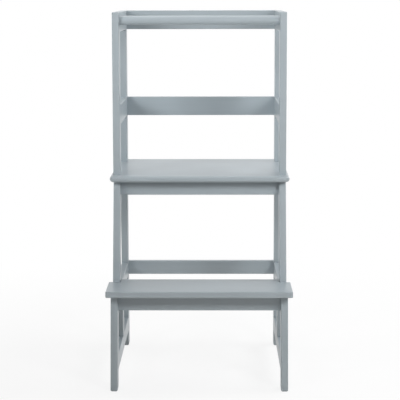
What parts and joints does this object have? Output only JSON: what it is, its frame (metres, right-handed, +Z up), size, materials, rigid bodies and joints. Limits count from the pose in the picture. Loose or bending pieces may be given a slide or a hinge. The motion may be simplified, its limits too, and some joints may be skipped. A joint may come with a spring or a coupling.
{
  "type": "toddler kitchen helper stool",
  "caption": "Wooden toddler kitchen helper stool: low step, standing platform on leaning side frames, and a guard frame of posts and rails with a round bar across the front.",
  "frame": {"origin": "on the floor, under the middle of the overall depth and width", "axes": "+Z up; -Y to the front, the side with the low step; +X to the right as seen from the front"},
  "size_m": [0.446, 0.529, 0.9],
  "materials": {
    "blue_grey_paint": "semi-gloss paint on wood",
    "zinc_steel": "zinc plated"
  },
  "bodies": {
    "root": {"front_round_bar": "blue_grey_paint", "left_bottom_stretcher": "blue_grey_paint", "left_front_post": "blue_grey_paint", "left_main_leg": "blue_grey_paint", "left_mid_side_rail": "blue_grey_paint", "left_platform_side_rail": "blue_grey_paint", "left_rear_leg": "blue_grey_paint", "left_rear_post": "blue_grey_paint", "left_step_bearer": "blue_grey_paint", "left_step_leg": "blue_grey_paint", "left_strut": "blue_grey_paint", "left_top_side_rail": "blue_grey_paint", "low_back_rail": "blue_grey_paint", "mid_back_rail": "blue_grey_paint", "platform_board": "blue_grey_paint", "platform_front_apron": "blue_grey_paint", "platform_rear_apron": "blue_grey_paint", "post_studs": "zinc_steel", "rail_bolts": "zinc_steel", "right_bottom_stretcher": "blue_grey_paint", "right_front_post": "blue_grey_paint", "right_main_leg": "blue_grey_paint", "right_mid_side_rail": "blue_grey_paint", "right_platform_side_rail": "blue_grey_paint", "right_rear_leg": "blue_grey_paint", "right_rear_post": "blue_grey_paint", "right_step_bearer": "blue_grey_paint", "right_step_leg": "blue_grey_paint", "right_strut": "blue_grey_paint", "right_top_side_rail": "blue_grey_paint", "step_board": "blue_grey_paint", "step_front_apron": "blue_grey_paint", "step_screws": "zinc_steel", "top_back_rail": "blue_grey_paint"}
  },
  "joints": []
}
